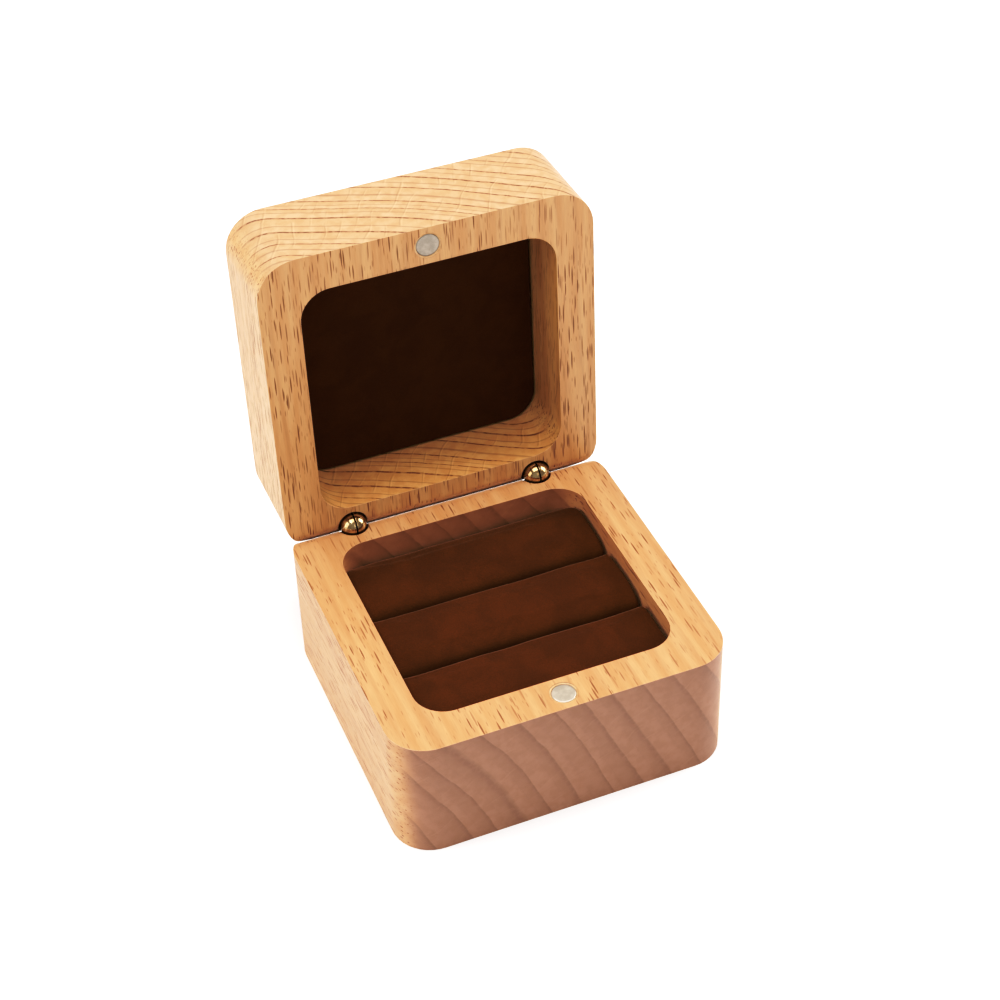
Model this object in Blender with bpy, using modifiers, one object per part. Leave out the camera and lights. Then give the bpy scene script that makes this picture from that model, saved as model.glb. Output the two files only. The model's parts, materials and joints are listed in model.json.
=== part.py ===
"""Ring box: two hollowed blocks of beech on a pair of brass barrel hinges, with a velvet ring insert.

Metres, +Z up. +X is to the right, -Y is the front with the magnets, +Y is the hinged rear edge.
The origin is the middle of the base's flat underside. Lid pieces are modelled closed, then the
empty on the hinge axis swings them back to where the lid rests open.
"""

import math

import bmesh
import bpy
from mathutils import Matrix

MM = 0.001

# Wooden box
BOX_WIDTH = 60 * MM
BOX_DEPTH = 60 * MM
BASE_HEIGHT = 24 * MM
LID_HEIGHT = 18 * MM
RIM_GAP = 0.3 * MM  # between the rims of the closed box
CORNER_RADIUS = 7 * MM
EDGE_ROUNDING = 0.5 * MM
SIDE_WALL = 7 * MM
FRONT_WALL = 7 * MM
BASE_REAR_WALL = 8 * MM
LID_REAR_WALL = 7 * MM
BASE_CAVITY_DEPTH = 19.5 * MM
LID_CAVITY_DEPTH = 14 * MM
CAVITY_RADIUS = 5.5 * MM

# Rear relief: the sloping rear edge of each rim, which lets the lid swing past upright
BASE_RELIEF_START_Y = 25.2 * MM
LID_RELIEF_START_Y = 25.9 * MM
RELIEF_ROLL = 3.2 * MM  # radius that leads from the rim into the slope
RELIEF_SLOPE = math.radians(45)
RELIEF_HEEL = 1 * MM  # radius that leads from the slope into the rear face
RELIEF_STEPS = 5

# Hinges
HINGE_AXIS_Y = 26.95 * MM
HINGE_SPREAD = 17.7 * MM  # from the middle of the box to each hinge
OPEN_ANGLE = math.radians(92)
BARREL_RADIUS = 2.15 * MM
BARREL_LENGTH = 11 * MM  # from the hinge axis to the barrel's blind end
GROOVE_DEPTH = 0.2 * MM
GROOVE_PITCH = 1.4 * MM
GROOVES = 4
KNUCKLE_RADIUS = 2.4 * MM
KNUCKLE_SLIT = 0.3 * MM  # between the two halves of the ball
KNUCKLE_CLEARANCE = 0.35 * MM
PIN_RADIUS = 0.5 * MM
PIN_LENGTH = 3 * MM
PIN_CLEARANCE = 0.2 * MM

# Magnets
MAGNET_RADIUS = 2.1 * MM
MAGNET_THICKNESS = 3 * MM
MAGNET_SINK = 0.1 * MM  # below the rim

# Insert
BOARD_THICKNESS = 1.2 * MM
CUSHION_CROWN = 2.7 * MM  # from the base rim down to the top of a cushion
CUSHION_ROLL = 2.4 * MM  # height of the crowned top above the straight sides
CUSHION_ROUNDNESS = 4  # exponent of the crowned top: 2 is an ellipse, more is squarer
CUSHION_END_ROUNDING = 0.7 * MM
REAR_CUSHION_DEPTH = 15 * MM
MIDDLE_CUSHION_DEPTH = 14 * MM
RING_SLOT = 0.8 * MM
VELVET = 0.6 * MM

# Lid liner
LINER_SINK = 11.9 * MM  # from the lid rim to the face of the velvet
LINER_BOARD_THICKNESS = 0.9 * MM

GAP = 0.3 * MM  # clearance between pieces that touch
OVERCUT = 1 * MM  # how far a cutter runs past the surface that it opens
ROUND_STEPS = 24
CORNER_STEPS = 10

RIM_Z = BASE_HEIGHT
AXIS_Z = BASE_HEIGHT + RIM_GAP / 2
LID_RIM_Z = BASE_HEIGHT + RIM_GAP
DOWN = -1
UP = 1


def clear_scene():
    for scene_object in list(bpy.data.objects):
        bpy.data.objects.remove(scene_object)


def new_collection(name):
    collection = bpy.data.collections.new(name)
    bpy.context.scene.collection.children.link(collection)
    return collection


def material(name, colour, roughness, metallic=0.0):
    made = bpy.data.materials.new(name)
    made.use_nodes = True
    shader = made.node_tree.nodes["Principled BSDF"]
    shader.inputs["Base Color"].default_value = (*colour, 1)
    shader.inputs["Roughness"].default_value = roughness
    shader.inputs["Metallic"].default_value = metallic
    return made


clear_scene()
PARTS = new_collection("ring_box")
CUTTERS = new_collection("cutters")
BEECH = material("beech", (0.78, 0.50, 0.27), 0.55)
BRASS = material("brass", (0.78, 0.57, 0.25), 0.2, 1.0)
NICKEL = material("nickel", (0.62, 0.60, 0.57), 0.4, 1.0)
VELVET_CLOTH = material("velvet", (0.09, 0.03, 0.012), 0.95)
FOAM = material("foam", (0.75, 0.72, 0.62), 0.9)
CARD = material("card", (0.45, 0.36, 0.25), 0.85)


# ---- building blocks ----


def link(name, mesh, collection):
    made = bpy.data.objects.new(name, mesh)
    collection.objects.link(made)
    return made


def as_part(part, look):
    """Puts a finished piece among the parts, with its material."""
    CUTTERS.objects.unlink(part)
    PARTS.objects.link(part)
    part.data.materials.clear()
    part.data.materials.append(look)
    part.data.shade_smooth()
    part.data.set_sharp_from_angle(angle=math.radians(35))
    part.hide_render = False
    part.display_type = "TEXTURED"
    return part


def as_cutter(shape):
    shape.hide_render = True
    shape.display_type = "WIRE"
    return shape


def mesh_object(name, bm):
    mesh = bpy.data.meshes.new(name)
    bmesh.ops.recalc_face_normals(bm, faces=bm.faces[:])
    bm.to_mesh(mesh)
    bm.free()
    return as_cutter(link(name, mesh, CUTTERS))


def block(name, low, high, corner_radius=0.0, steps=CORNER_STEPS):
    """A box between two corners, with its four upright edges rounded."""
    bm = bmesh.new()
    bmesh.ops.create_cube(bm, size=1)
    size = [h - l for l, h in zip(low, high)]
    middle = [(h + l) / 2 for l, h in zip(low, high)]
    bmesh.ops.transform(bm, matrix=Matrix.LocRotScale(middle, None, size), verts=bm.verts[:])
    if corner_radius:
        upright = [e for e in bm.edges if abs(e.verts[0].co.z - e.verts[1].co.z) > size[2] / 2]
        bmesh.ops.bevel(
            bm,
            geom=upright,
            offset=corner_radius,
            offset_type="OFFSET",
            segments=steps,
            profile=0.5,
            affect="EDGES",
        )
    return mesh_object(name, bm)


def rod(name, radius, start, length, axis="Z"):
    """A cylinder that starts at a point and runs along +Z or +X."""
    bm = bmesh.new()
    bmesh.ops.create_cone(
        bm, cap_ends=True, segments=ROUND_STEPS, radius1=radius, radius2=radius, depth=length
    )
    turn = Matrix.Rotation(math.radians(90), 4, "Y") if axis == "X" else Matrix.Identity(4)
    lift = Matrix.Translation((0, 0, length / 2))
    bmesh.ops.transform(bm, matrix=Matrix.Translation(start) @ turn @ lift, verts=bm.verts[:])
    return mesh_object(name, bm)


def ball(name, radius, centre):
    bm = bmesh.new()
    bmesh.ops.create_uvsphere(bm, u_segments=ROUND_STEPS, v_segments=ROUND_STEPS // 2, radius=radius)
    bmesh.ops.translate(bm, vec=centre, verts=bm.verts[:])
    return mesh_object(name, bm)


def prism(name, outline, low_x, high_x):
    """A closed outline of (y, z) points, extruded from low_x to high_x."""
    curve = bpy.data.curves.new(name, "CURVE")
    curve.dimensions = "2D"
    curve.fill_mode = "BOTH"
    curve.extrude = (high_x - low_x) / 2
    spline = curve.splines.new("POLY")
    spline.points.add(len(outline) - 1)
    for point, (y, z) in zip(spline.points, outline):
        point.co = (y, z, 0, 1)
    spline.use_cyclic_u = True
    flat = link(name + "_outline", curve, CUTTERS)
    depsgraph = bpy.context.evaluated_depsgraph_get()
    mesh = bpy.data.meshes.new_from_object(flat.evaluated_get(depsgraph))
    bpy.data.objects.remove(flat)
    bm = bmesh.new()
    bm.from_mesh(mesh)
    bpy.data.meshes.remove(mesh)
    bmesh.ops.remove_doubles(bm, verts=bm.verts[:], dist=0.01 * MM)
    # the curve's own x, y and z become the box's y, z and x
    upright = Matrix(((0, 0, 1, (low_x + high_x) / 2), (1, 0, 0, 0), (0, 1, 0, 0), (0, 0, 0, 1)))
    bmesh.ops.transform(bm, matrix=upright, verts=bm.verts[:])
    return mesh_object(name, bm)


def combine(target, operation, *others):
    for other in others:
        boolean = target.modifiers.new(f"{operation.lower()}_{other.name}", "BOOLEAN")
        boolean.operation = operation
        boolean.solver = "EXACT"
        boolean.object = as_cutter(other)
    return target


def soften(target, width, segments, angle):
    bevel = target.modifiers.new("soften", "BEVEL")
    bevel.width = width
    bevel.segments = segments
    bevel.limit_method = "ANGLE"
    bevel.angle_limit = angle
    return target


def half_slab(name, rim_z, grows, near, far, low, high, corner_radius=0.0):
    """A block in one half of the box: near and far are depths from the rim, into the wood."""
    z = sorted((rim_z + grows * near, rim_z + grows * far))
    return block(name, (low[0], low[1], z[0]), (high[0], high[1], z[1]), corner_radius)


# ---- wooden halves ----


def relief_outline(rim_z, grows, start_y):
    """The wood to take off a rim's rear edge: a roll, a straight slope and a heel into the rear face."""
    roll_angles = [RELIEF_SLOPE * i / RELIEF_STEPS for i in range(RELIEF_STEPS + 1)]
    points = []
    for angle in roll_angles:
        run = RELIEF_ROLL * math.sin(angle)
        drop = RELIEF_ROLL * (1 - math.cos(angle))
        points.append((start_y + run, drop))
    rear_y = BOX_DEPTH / 2
    roll_end_y, roll_end_drop = points[-1]
    heel_run = RELIEF_HEEL * (1 - math.sin(math.pi / 2 - RELIEF_SLOPE))
    slope_run = rear_y - heel_run - roll_end_y
    slope_end_drop = roll_end_drop + slope_run * math.tan(RELIEF_SLOPE)
    for i in range(RELIEF_STEPS + 1):
        angle = RELIEF_SLOPE + (math.pi / 2 - RELIEF_SLOPE) * i / RELIEF_STEPS
        run = RELIEF_HEEL * (math.sin(angle) - math.sin(RELIEF_SLOPE))
        drop = RELIEF_HEEL * (math.cos(RELIEF_SLOPE) - math.cos(angle))
        points.append((rear_y - heel_run + run, slope_end_drop + drop))
    heel_drop = points[-1][1]
    points.append((rear_y + OVERCUT, heel_drop + OVERCUT))
    points.append((rear_y + OVERCUT, -OVERCUT))
    points.append((start_y - 2 * OVERCUT, -OVERCUT))
    points.append((start_y - 2 * OVERCUT, 0))
    return [(y, rim_z + grows * depth) for y, depth in points]


def wooden_half(name, rim_z, grows, height, cavity_depth, rear_wall, relief_start_y):
    """One hollowed block: grows is DOWN for the base under its rim, UP for the lid above its own."""
    half_x, half_y = BOX_WIDTH / 2, BOX_DEPTH / 2
    outer = half_slab(
        name, rim_z, grows, 0, height, (-half_x, -half_y), (half_x, half_y), CORNER_RADIUS
    )
    cavity = half_slab(
        name + "_cavity",
        rim_z,
        grows,
        -OVERCUT,
        cavity_depth,
        (-half_x + SIDE_WALL, -half_y + FRONT_WALL),
        (half_x - SIDE_WALL, half_y - rear_wall),
        CAVITY_RADIUS,
    )
    outline = relief_outline(rim_z, grows, relief_start_y)
    relief = prism(name + "_relief", outline, -BOX_WIDTH, BOX_WIDTH)
    combine(outer, "DIFFERENCE", relief, cavity)
    soften(outer, EDGE_ROUNDING, 2, math.radians(40))
    combine(outer, "DIFFERENCE", *hardware_holes(name, rim_z, grows))
    return as_part(outer, BEECH)


def hole(name, radius, x, y, rim_z, grows, depth):
    z = sorted((rim_z - grows * OVERCUT, rim_z + grows * depth))
    return rod(name, radius, (x, y, z[0]), z[1] - z[0])


def hardware_holes(name, rim_z, grows):
    """Stepped holes for the two hinges, and the blind hole for the magnet."""
    holes = []
    for side, x in hinge_places():
        pocket_depth = KNUCKLE_RADIUS + KNUCKLE_CLEARANCE
        bore_depth = BARREL_LENGTH + GAP
        pocket_radius = KNUCKLE_RADIUS + KNUCKLE_CLEARANCE
        stem = f"{name}_{side}_hinge"
        holes.append(hole(stem + "_pocket", pocket_radius, x, HINGE_AXIS_Y, rim_z, grows, pocket_depth))
        holes.append(
            hole(stem + "_bore", BARREL_RADIUS + GAP, x, HINGE_AXIS_Y, rim_z, grows, bore_depth)
        )
    magnet_depth = MAGNET_SINK + MAGNET_THICKNESS + GAP
    holes.append(
        hole(name + "_magnet_hole", MAGNET_RADIUS + GAP, 0, magnet_y(), rim_z, grows, magnet_depth)
    )
    return holes


def hinge_places():
    return (("left", -HINGE_SPREAD), ("right", HINGE_SPREAD))


def magnet_y():
    return -BOX_DEPTH / 2 + FRONT_WALL / 2


# ---- hinges and magnets ----


def barrel_profile():
    """Radius against distance from the hinge axis, from the knuckle to the blind end, with press-in grooves."""
    start = KNUCKLE_RADIUS + KNUCKLE_CLEARANCE
    points = [(0, start), (BARREL_RADIUS, start)]
    for i in range(GROOVES):
        groove = start + GROOVE_PITCH * (i + 1)
        points.append((BARREL_RADIUS, groove - GROOVE_DEPTH))
        points.append((BARREL_RADIUS - GROOVE_DEPTH, groove))
        points.append((BARREL_RADIUS, groove + GROOVE_DEPTH))
    points.append((BARREL_RADIUS, BARREL_LENGTH - 2 * GROOVE_DEPTH))
    points.append((BARREL_RADIUS - 2 * GROOVE_DEPTH, BARREL_LENGTH))
    points.append((0, BARREL_LENGTH))
    return points


def turned(name, profile, centre, grows):
    """A profile of (radius, distance) points turned about an upright line through the centre."""
    bm = bmesh.new()
    ordered = profile if grows == DOWN else profile[::-1]
    verts = [bm.verts.new((radius, 0, grows * distance)) for radius, distance in ordered]
    for first, second in zip(verts, verts[1:]):
        bm.edges.new((first, second))
    mesh = bpy.data.meshes.new(name)
    bm.to_mesh(mesh)
    bm.free()
    made = as_cutter(link(name, mesh, CUTTERS))
    made.location = centre
    screw = made.modifiers.new("turn", "SCREW")
    screw.axis = "Z"
    screw.steps = ROUND_STEPS
    screw.render_steps = ROUND_STEPS
    screw.use_merge_vertices = True
    screw.merge_threshold = 0.01 * MM
    screw.use_normal_calculate = True
    return made


def barrel(name, x, grows, lobe_side):
    """A pressed-in barrel that ends in half a ball: lobe_side is -1 for the left half, 1 for the right."""
    axis = (x, HINGE_AXIS_Y, AXIS_Z)
    body = turned(name, barrel_profile(), axis, grows)
    knuckle = ball(name + "_knuckle", KNUCKLE_RADIUS, axis)
    body_start = KNUCKLE_RADIUS + KNUCKLE_CLEARANCE
    neck_length = body_start + GROOVE_DEPTH
    neck_z = AXIS_Z if grows == UP else AXIS_Z - neck_length
    neck_radius = BARREL_RADIUS - 0.05 * MM
    neck = rod(name + "_neck", neck_radius, (x, HINGE_AXIS_Y, neck_z), neck_length)
    reach = KNUCKLE_RADIUS + OVERCUT
    cut_x = sorted((x + lobe_side * -reach, x + lobe_side * KNUCKLE_SLIT / 2))
    cut_z = sorted((AXIS_Z - grows * reach, AXIS_Z + grows * body_start))
    other_half = block(
        name + "_other_half",
        (cut_x[0], HINGE_AXIS_Y - reach, cut_z[0]),
        (cut_x[1], HINGE_AXIS_Y + reach, cut_z[1]),
    )
    pin_reach = PIN_LENGTH / 2 + PIN_CLEARANCE
    pin_hole = rod(
        name + "_pin_hole",
        PIN_RADIUS + PIN_CLEARANCE,
        (x - pin_reach, HINGE_AXIS_Y, AXIS_Z),
        2 * pin_reach,
        "X",
    )
    combine(body, "UNION", neck, knuckle)
    combine(body, "DIFFERENCE", other_half, pin_hole)
    return as_part(body, BRASS)


def hinge_pin(name, x):
    pin = rod(name, PIN_RADIUS, (x - PIN_LENGTH / 2, HINGE_AXIS_Y, AXIS_Z), PIN_LENGTH, "X")
    return as_part(pin, BRASS)


def magnet(name, rim_z, grows):
    z = sorted((rim_z + grows * MAGNET_SINK, rim_z + grows * (MAGNET_SINK + MAGNET_THICKNESS)))
    disc = rod(name, MAGNET_RADIUS, (0, magnet_y(), z[0]), z[1] - z[0])
    soften(disc, 0.15 * MM, 2, math.radians(60))
    return as_part(disc, NICKEL)


# ---- ring insert and lid liner ----


def cavity_plan(rear_wall, inset):
    """Low and high corners and corner radius of the cavity's outline, drawn in by inset."""
    low = (-BOX_WIDTH / 2 + SIDE_WALL + inset, -BOX_DEPTH / 2 + FRONT_WALL + inset)
    high = (BOX_WIDTH / 2 - SIDE_WALL - inset, BOX_DEPTH / 2 - rear_wall - inset)
    return low, high, CAVITY_RADIUS - inset


def cavity_slab(name, rim_z, grows, near, far, rear_wall, look):
    low, high, radius = cavity_plan(rear_wall, GAP)
    slab = half_slab(name, rim_z, grows, near, far, low, high, radius)
    return as_part(slab, look)


def roll_outline(front_y, rear_y, bottom_z, crown_z, inset):
    """A cushion's section: flat bottom, straight sides and a crowned top, drawn in by inset."""
    half = (rear_y - front_y) / 2 - inset
    middle = (rear_y + front_y) / 2
    side_z = crown_z - CUSHION_ROLL
    steps = 2 * CORNER_STEPS
    points = [(middle + half, bottom_z)]
    for i in range(steps + 1):
        angle = math.pi * i / steps
        across = math.copysign(abs(math.cos(angle)) ** (2 / CUSHION_ROUNDNESS), math.cos(angle))
        up = math.sin(angle) ** (2 / CUSHION_ROUNDNESS) if 0 < i < steps else 0
        points.append((middle + half * across, side_z + (CUSHION_ROLL - inset) * up))
    points.append((middle - half, bottom_z))
    return points


def cushion_solid(name, front_y, rear_y, bottom_z, inset):
    """A roll of the cavity's width, trimmed to the cavity's rounded corners."""
    low, high, radius = cavity_plan(BASE_REAR_WALL, GAP + inset)
    crown_z = RIM_Z - CUSHION_CROWN
    outline = roll_outline(front_y, rear_y, bottom_z, crown_z, inset)
    roll = prism(name, outline, low[0], high[0])
    plan = block(name + "_plan", (*low, 0), (*high, RIM_Z), radius)
    return combine(roll, "INTERSECT", plan)


def cushion(name, front_y, rear_y, bottom_z):
    """A velvet cover, open underneath, over a foam core."""
    cover = cushion_solid(name + "_cover", front_y, rear_y, bottom_z, 0)
    soften(cover, CUSHION_END_ROUNDING, 2, math.radians(50))
    inside = cushion_solid(name + "_inside", front_y, rear_y, bottom_z - OVERCUT, VELVET)
    combine(cover, "DIFFERENCE", inside)
    core = cushion_solid(name + "_core", front_y, rear_y, bottom_z, VELVET + GAP)
    return as_part(cover, VELVET_CLOTH), as_part(core, FOAM)


def ring_insert():
    board_top = BASE_CAVITY_DEPTH - GAP - BOARD_THICKNESS
    cavity_slab("insert_board", RIM_Z, DOWN, board_top, board_top + BOARD_THICKNESS, BASE_REAR_WALL, CARD)
    bottom_z = RIM_Z - board_top + GAP
    low, high, _ = cavity_plan(BASE_REAR_WALL, GAP)
    rear_front_y = high[1] - REAR_CUSHION_DEPTH
    middle_rear_y = rear_front_y - RING_SLOT
    middle_front_y = middle_rear_y - MIDDLE_CUSHION_DEPTH
    cushion("rear_cushion", rear_front_y, high[1], bottom_z)
    cushion("middle_cushion", middle_front_y, middle_rear_y, bottom_z)
    cushion("front_cushion", low[1], middle_front_y - RING_SLOT, bottom_z)


def lid_liner():
    board_near = LINER_SINK + VELVET + GAP
    board_far = board_near + LINER_BOARD_THICKNESS
    return (
        cavity_slab(
            "lid_liner_velvet", LID_RIM_Z, UP, LINER_SINK, LINER_SINK + VELVET, LID_REAR_WALL, VELVET_CLOTH
        ),
        cavity_slab("lid_liner_board", LID_RIM_Z, UP, board_near, board_far, LID_REAR_WALL, CARD),
    )


# ---- assembly ----


def hinge(side, x):
    """The base's half ball faces the nearer side of the box. Returns the barrel that moves with the lid."""
    outward = math.copysign(1, x)
    barrel(f"{side}_hinge_base_barrel", x, DOWN, outward)
    hinge_pin(f"{side}_hinge_pin", x)
    return barrel(f"{side}_hinge_lid_barrel", x, UP, -outward)


def swing_open(pieces):
    """Hangs the lid's pieces on an empty on the hinge axis, and turns it to the resting angle."""
    axis = bpy.data.objects.new("lid_hinge_axis", None)
    PARTS.objects.link(axis)
    axis.location = (0, HINGE_AXIS_Y, AXIS_Z)
    closed = Matrix.Translation(axis.location).inverted()
    for piece in pieces:
        piece.parent = axis
        piece.matrix_parent_inverse = closed
        for modifier in piece.modifiers:
            if modifier.type == "BOOLEAN":
                hang_cutters(modifier.object, axis, closed)
    axis.rotation_euler = (-OPEN_ANGLE, 0, 0)


def hang_cutters(cutter, axis, closed):
    """A cutter, and what cuts it, turns with the piece that it shapes."""
    cutter.parent = axis
    cutter.matrix_parent_inverse = closed
    for modifier in cutter.modifiers:
        if modifier.type == "BOOLEAN":
            hang_cutters(modifier.object, axis, closed)


def build():
    wooden_half(
        "base_shell",
        RIM_Z,
        DOWN,
        BASE_HEIGHT,
        BASE_CAVITY_DEPTH,
        BASE_REAR_WALL,
        BASE_RELIEF_START_Y,
    )
    magnet("base_magnet", RIM_Z, DOWN)
    ring_insert()
    lid_shell = wooden_half(
        "lid_shell",
        LID_RIM_Z,
        UP,
        LID_HEIGHT,
        LID_CAVITY_DEPTH,
        LID_REAR_WALL,
        LID_RELIEF_START_Y,
    )
    lid_pieces = [
        lid_shell,
        magnet("lid_magnet", LID_RIM_Z, UP),
        *lid_liner(),
        *[hinge(side, x) for side, x in hinge_places()],
    ]
    swing_open(lid_pieces)


build()
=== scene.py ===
"""Ring box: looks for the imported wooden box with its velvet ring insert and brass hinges.

Metres, +Z up. The lid rests open. Its wood is coloured in the frame of the closed lid, so that the
grain follows the block and not the pose.
"""

import json
import math

import bmesh
import bpy
from mathutils import Matrix, Vector, noise


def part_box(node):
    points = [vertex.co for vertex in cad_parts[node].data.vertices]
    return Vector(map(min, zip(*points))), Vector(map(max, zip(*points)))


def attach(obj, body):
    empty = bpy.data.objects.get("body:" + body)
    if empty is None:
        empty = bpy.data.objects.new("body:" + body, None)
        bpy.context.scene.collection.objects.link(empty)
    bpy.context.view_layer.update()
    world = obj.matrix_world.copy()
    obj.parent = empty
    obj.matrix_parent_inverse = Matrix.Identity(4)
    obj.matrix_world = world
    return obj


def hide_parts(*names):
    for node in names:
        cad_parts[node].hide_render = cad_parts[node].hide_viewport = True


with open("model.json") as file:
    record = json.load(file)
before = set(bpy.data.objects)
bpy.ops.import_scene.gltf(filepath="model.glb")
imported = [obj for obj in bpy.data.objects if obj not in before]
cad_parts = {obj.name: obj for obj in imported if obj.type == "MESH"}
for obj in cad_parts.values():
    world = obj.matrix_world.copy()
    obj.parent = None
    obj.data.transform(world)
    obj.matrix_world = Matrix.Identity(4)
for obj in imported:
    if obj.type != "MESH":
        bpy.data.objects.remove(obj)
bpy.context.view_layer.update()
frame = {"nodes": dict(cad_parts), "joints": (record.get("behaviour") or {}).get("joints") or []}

MM = 0.001
MM_PER_M = 1000
BASE = "base"
LID = "lid"

# Hinge, from the record
HINGE = frame["joints"][0]
HINGE_POINT = Vector(HINGE["pos_m"])
OPEN_ANGLE = math.radians(HINGE["range_deg"][1])
TO_OPEN = (
    Matrix.Translation(HINGE_POINT)
    @ Matrix.Rotation(-OPEN_ANGLE, 4, "X")
    @ Matrix.Translation(-HINGE_POINT)
)
TO_CLOSED = TO_OPEN.inverted()


# ---- shader graph ----

# The colour sockets of a Mix node
MIX_FACTOR, MIX_A, MIX_B, MIX_RESULT = 0, 6, 7, 2


class Shader:
    """A material's node graph, with one short call for each node."""

    def __init__(self, name):
        self.material = bpy.data.materials.new(name)
        self.material.use_nodes = True
        self.tree = self.material.node_tree
        self.surface = self.tree.nodes["Principled BSDF"]

    def add(self, kind, inputs=None, **settings):
        node = self.tree.nodes.new(kind)
        for key, value in settings.items():
            setattr(node, key, value)
        for key, value in (inputs or {}).items():
            self.feed(node.inputs[key], value)
        return node

    def feed(self, socket, value):
        """Links another node's output to a socket, or gives the socket a constant value."""
        if isinstance(value, bpy.types.NodeSocket):
            self.tree.links.new(value, socket)
        elif isinstance(value, tuple) and len(value) == 3 and socket.type == "RGBA":
            socket.default_value = (*value, 1)
        else:
            socket.default_value = value

    def set(self, **values):
        """Feeds the surface shader's own sockets, named with _ for a space."""
        for key, value in values.items():
            self.feed(self.surface.inputs[key.replace("_", " ")], value)

    def calc(self, operation, a, b=0.0):
        return self.add("ShaderNodeMath", {0: a, 1: b}, operation=operation).outputs[0]

    def times(self, first, *others):
        product = first
        for other in others:
            product = self.calc("MULTIPLY", product, other)
        return product

    def plus(self, a, b):
        return self.calc("ADD", a, b)

    def minus(self, a, b):
        return self.calc("SUBTRACT", a, b)

    def vector(self, operation, a, b=(0, 0, 0)):
        node = self.add("ShaderNodeVectorMath", {0: a, 1: b}, operation=operation)
        return node.outputs["Value" if operation == "LENGTH" else "Vector"]

    def split(self, vector):
        return self.add("ShaderNodeSeparateXYZ", {0: vector}).outputs

    def join(self, x, y, z):
        return self.add("ShaderNodeCombineXYZ", {0: x, 1: y, 2: z}).outputs[0]

    def spread(self, value, low, high, to_low=0.0, to_high=1.0, kind="SMOOTHSTEP"):
        """Value between low and high becomes to_low to to_high, and stays inside them."""
        node = self.add(
            "ShaderNodeMapRange",
            {0: value, 1: low, 2: high, 3: to_low, 4: to_high},
            interpolation_type=kind,
        )
        return node.outputs[0]

    def band(self, value, rise, fall):
        """0 outside a band of values: it rises to 1 over the range rise, and goes back over fall."""
        return self.times(self.spread(value, *rise), self.spread(value, *fall, 1.0, 0.0))

    def noise(self, place, stretch=None, scale=1.0, detail=2.0, roughness=0.5, distortion=0.0):
        """Cloudy noise from 0 to 1. Stretch is how fast it changes along x, y and z."""
        if stretch is not None:
            place = self.vector("MULTIPLY", place, stretch)
        inputs = {
            "Vector": place,
            "Scale": scale,
            "Detail": detail,
            "Roughness": roughness,
            "Distortion": distortion,
        }
        return self.add("ShaderNodeTexNoise", inputs).outputs["Fac"]

    def mix(self, factor, a, b, blend="MIX"):
        node = self.add("ShaderNodeMix", data_type="RGBA", blend_type=blend, clamp_factor=True)
        self.feed(node.inputs[MIX_FACTOR], factor)
        self.feed(node.inputs[MIX_A], a)
        self.feed(node.inputs[MIX_B], b)
        return node.outputs[MIX_RESULT]

    def brightened(self, colour, amount):
        return self.mix(1.0, colour, self.join(amount, amount, amount), "MULTIPLY")

    def bump(self, height, distance, strength):
        inputs = {"Height": height, "Distance": distance, "Strength": strength}
        return self.add("ShaderNodeBump", inputs).outputs[0]

    def place_mm(self):
        """The piece's own coordinates, in millimetres."""
        return self.vector("MULTIPLY", self.add("ShaderNodeTexCoord").outputs["Object"], (MM_PER_M,) * 3)


# ---- wood ----

# Two numbers are a range, and four are a range and what its two ends become, as in Shader.spread

# How fast each pattern changes in a millimetre: across the grain, along it, and across it
RING_WANDER = (0.022, 0.008, 0.022)
RING_WOBBLE = (0.3, 0.03, 0.3)
RAY_SWAY = (0.09, 0.03, 0.09)
BREAKS = (1.1, 0.1, 1.1)
CROWDING = (0.11, 0.035, 0.11)
STREAKS = (0.55, 0.03, 0.55)
FIBRES = (7.0, 0.35, 7.0)
PORES = (9.0, 9.0, 9.0)
# The same for the patches with and without rays: round the rings, along the grain, out from the pith
RAY_PATCHES = (0.45, 0.2, 0.22)

# Rings: a point's place in its ring runs from 0 to 1
RING_UNEVENNESS = (0.16, 1.6)  # how fast the width changes in a millimetre, and how much, in rings
LATE_WOOD = ((0.15, 0.93), (0.93, 1.0))
RING_LINE_FULL = 0.93
RING_LINE_END = (0.94, 1.0)
MINOR_RINGS = 2.0
MINOR_LINE = ((0.72, 0.92), (0.93, 1.0))
PATCHY_LINE = (0.36, 0.58, 0.35, 1.0)

# Rays: a point's place from one ray to the next runs from 0 to 1
RAY_SWAY_DEPTH = 2.0
RAY_ROUGHNESS = 0.06
RAY_PALE = ((0.0, 0.05), (0.06, 0.13))
RAY_DARK = ((0.11, 0.16), (0.17, 0.24))
RAY_PRESENT = (0.44, 0.60)

# Flecks: a spindle is its spacing across and along, half width and half length, in millimetres
FAINT_SPINDLE = (0.42, 2.8, 0.12, 0.8)
FAINT_SEED_SHIFT = 7.3
SPINDLE_FADE = (0.0, 0.35)  # from a stroke's outline in to its full strength
STRONG_FLECK = (0.05, 0.7, 0.35, 1.0)
FAINT_FLECK = (0.2, 0.9, 0.0, 0.55)
CROWDED = (0.34, 0.52, 0.45, 1.0)

# Where the block is cut across its grain, where its hollow gets painted shade, and where a painted highlight
# runs along its rounded edges
END_GRAIN = (0.45, 0.9)
HOLLOW_REACH_MM = (23.6, 23.1)  # from the block's middle: outside the hollow, and inside it
HOLLOW_WALL = (0.5, 0.9, 1.0, 0.0)
HIGHLIGHT_EDGE = ((0.12, 0.45), (0.88, 0.99))
HIGHLIGHT_PATCHY = (0.3, 0.6, 0.6, 1.0)

# The surface between flecks: how its fine tooth shades and roughens it, and its relief
FINE_SHADING = (0.93, 1.06)
WOOD_ROUGHNESS = (0.36, 0.50)
FLECK_ROUGHNESS = 0.12
FLECK_DEPTH = 0.03 * MM
TOOTH_RELIEF = 0.35  # as shares of a fleck's depth
LINE_RELIEF = 0.4

MIDDLE = (0.35, 0.65)  # the range in which a noise has most of its values
WIDE = (0.3, 0.7)  # and nearly all of them

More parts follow.
